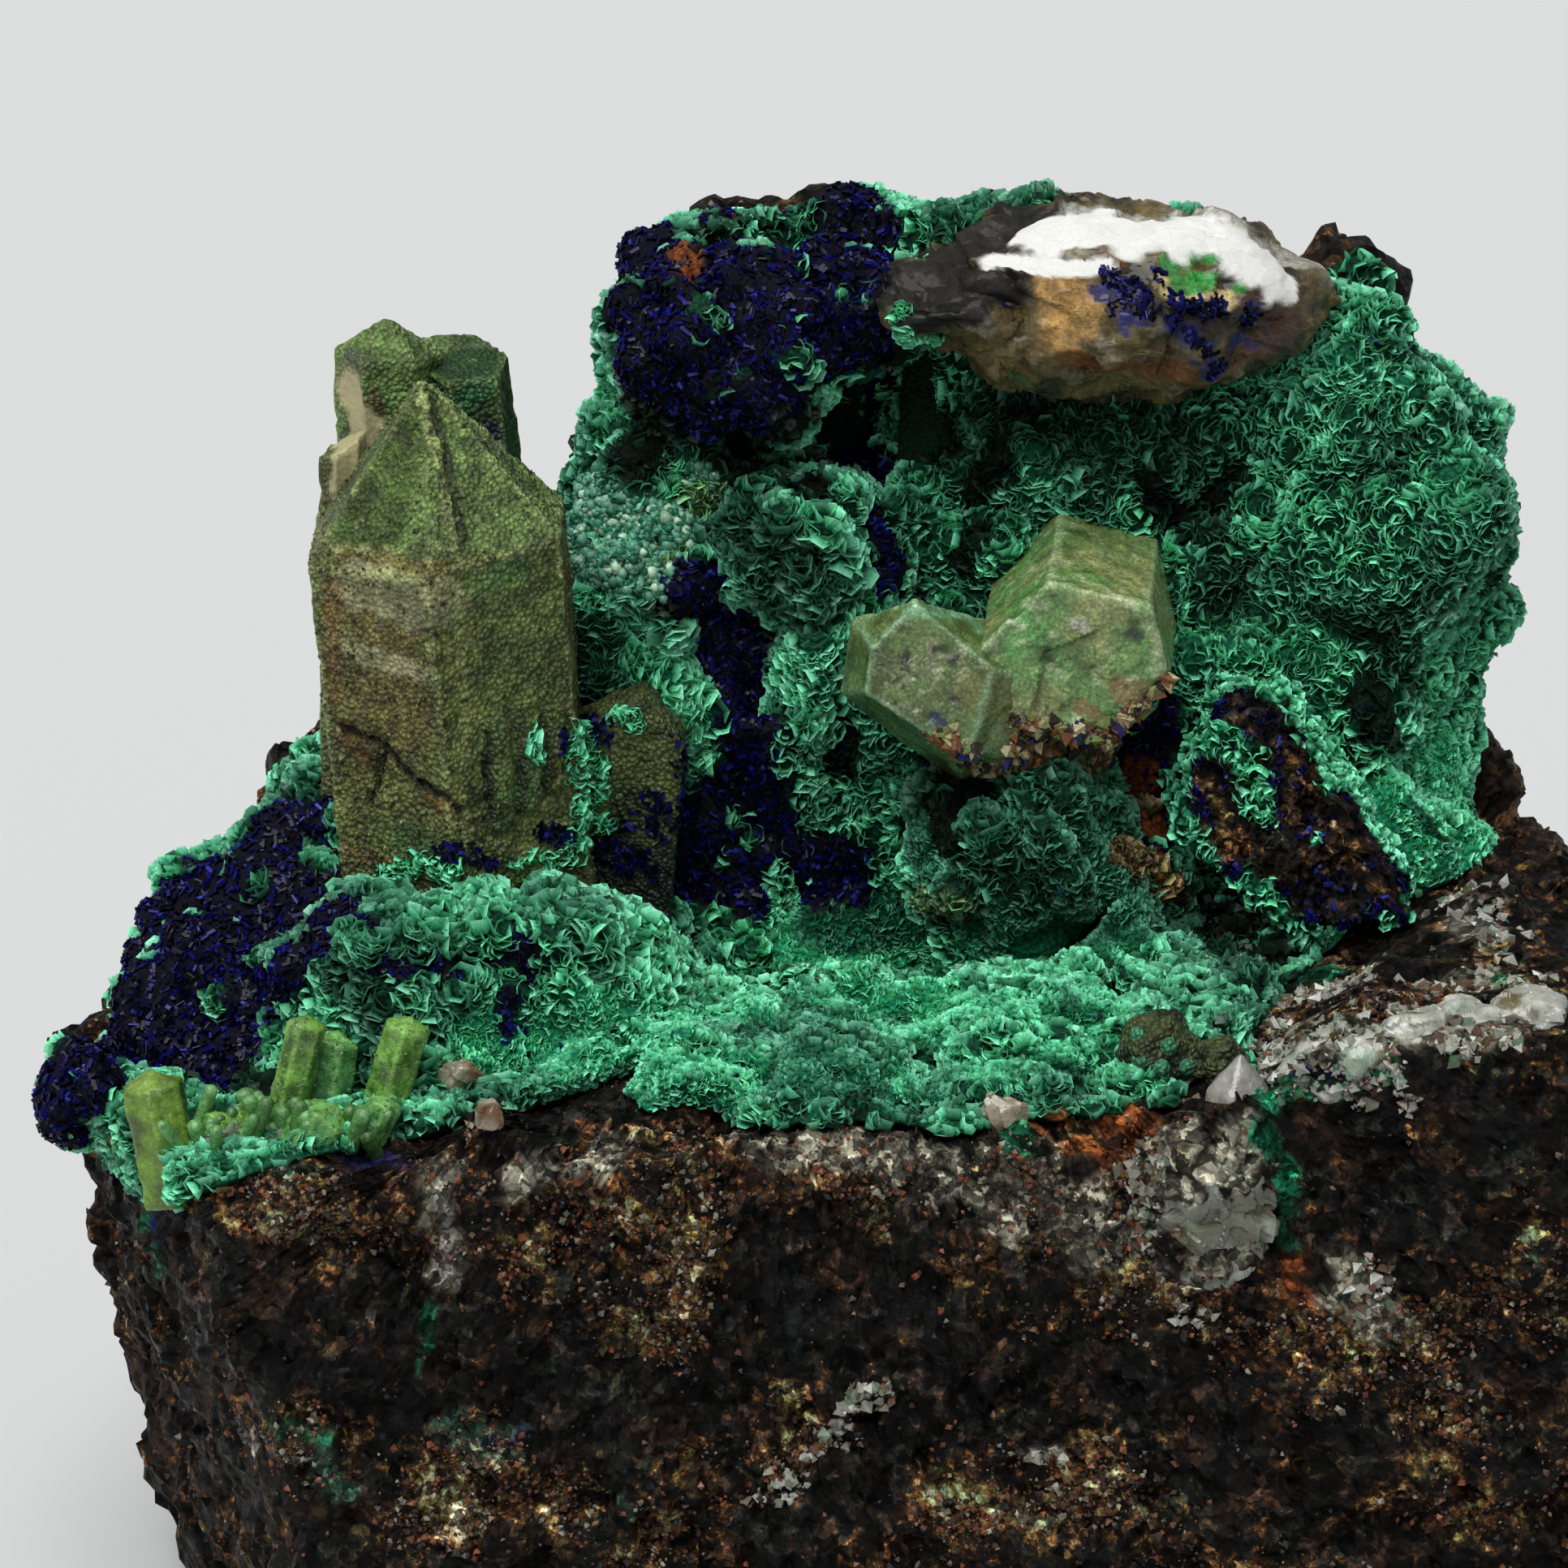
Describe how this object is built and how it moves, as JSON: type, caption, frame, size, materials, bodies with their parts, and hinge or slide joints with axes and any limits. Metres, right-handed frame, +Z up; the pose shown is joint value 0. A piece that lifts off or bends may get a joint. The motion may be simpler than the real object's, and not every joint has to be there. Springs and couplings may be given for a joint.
{
  "type": "azurite and malachite specimen",
  "caption": "Mineral hand specimen: broken dark matrix with a hollow lined by a malachite and azurite crust, from which dusted quartz crystals stand.",
  "frame": {"origin": "on the flat cut base, under the middle of the hollow", "axes": "+Z up from the base, +X to the viewer's right along the specimen's length, +Y away from the viewer through the wall behind the hollow"},
  "size_m": [0.1028, 0.062, 0.0896],
  "materials": {
    "matrix": "matte",
    "crust": "matte",
    "dusted_quartz": "matte",
    "pale_quartz": "satin",
    "green_quartz": "matte",
    "nodule_quartz": "satin",
    "clear_quartz": "polished"
  },
  "bodies": {
    "root": {"matrix_rock": "matrix", "malachite_azurite_crust": "crust", "main_crystal_group": "dusted_quartz", "crystal_pair": "pale_quartz", "sprig_cluster": "green_quartz", "stub_crystal": "dusted_quartz", "quartz_nodule": "nodule_quartz", "rim_quartz": "clear_quartz", "quartz_seam": "clear_quartz"}
  },
  "joints": []
}
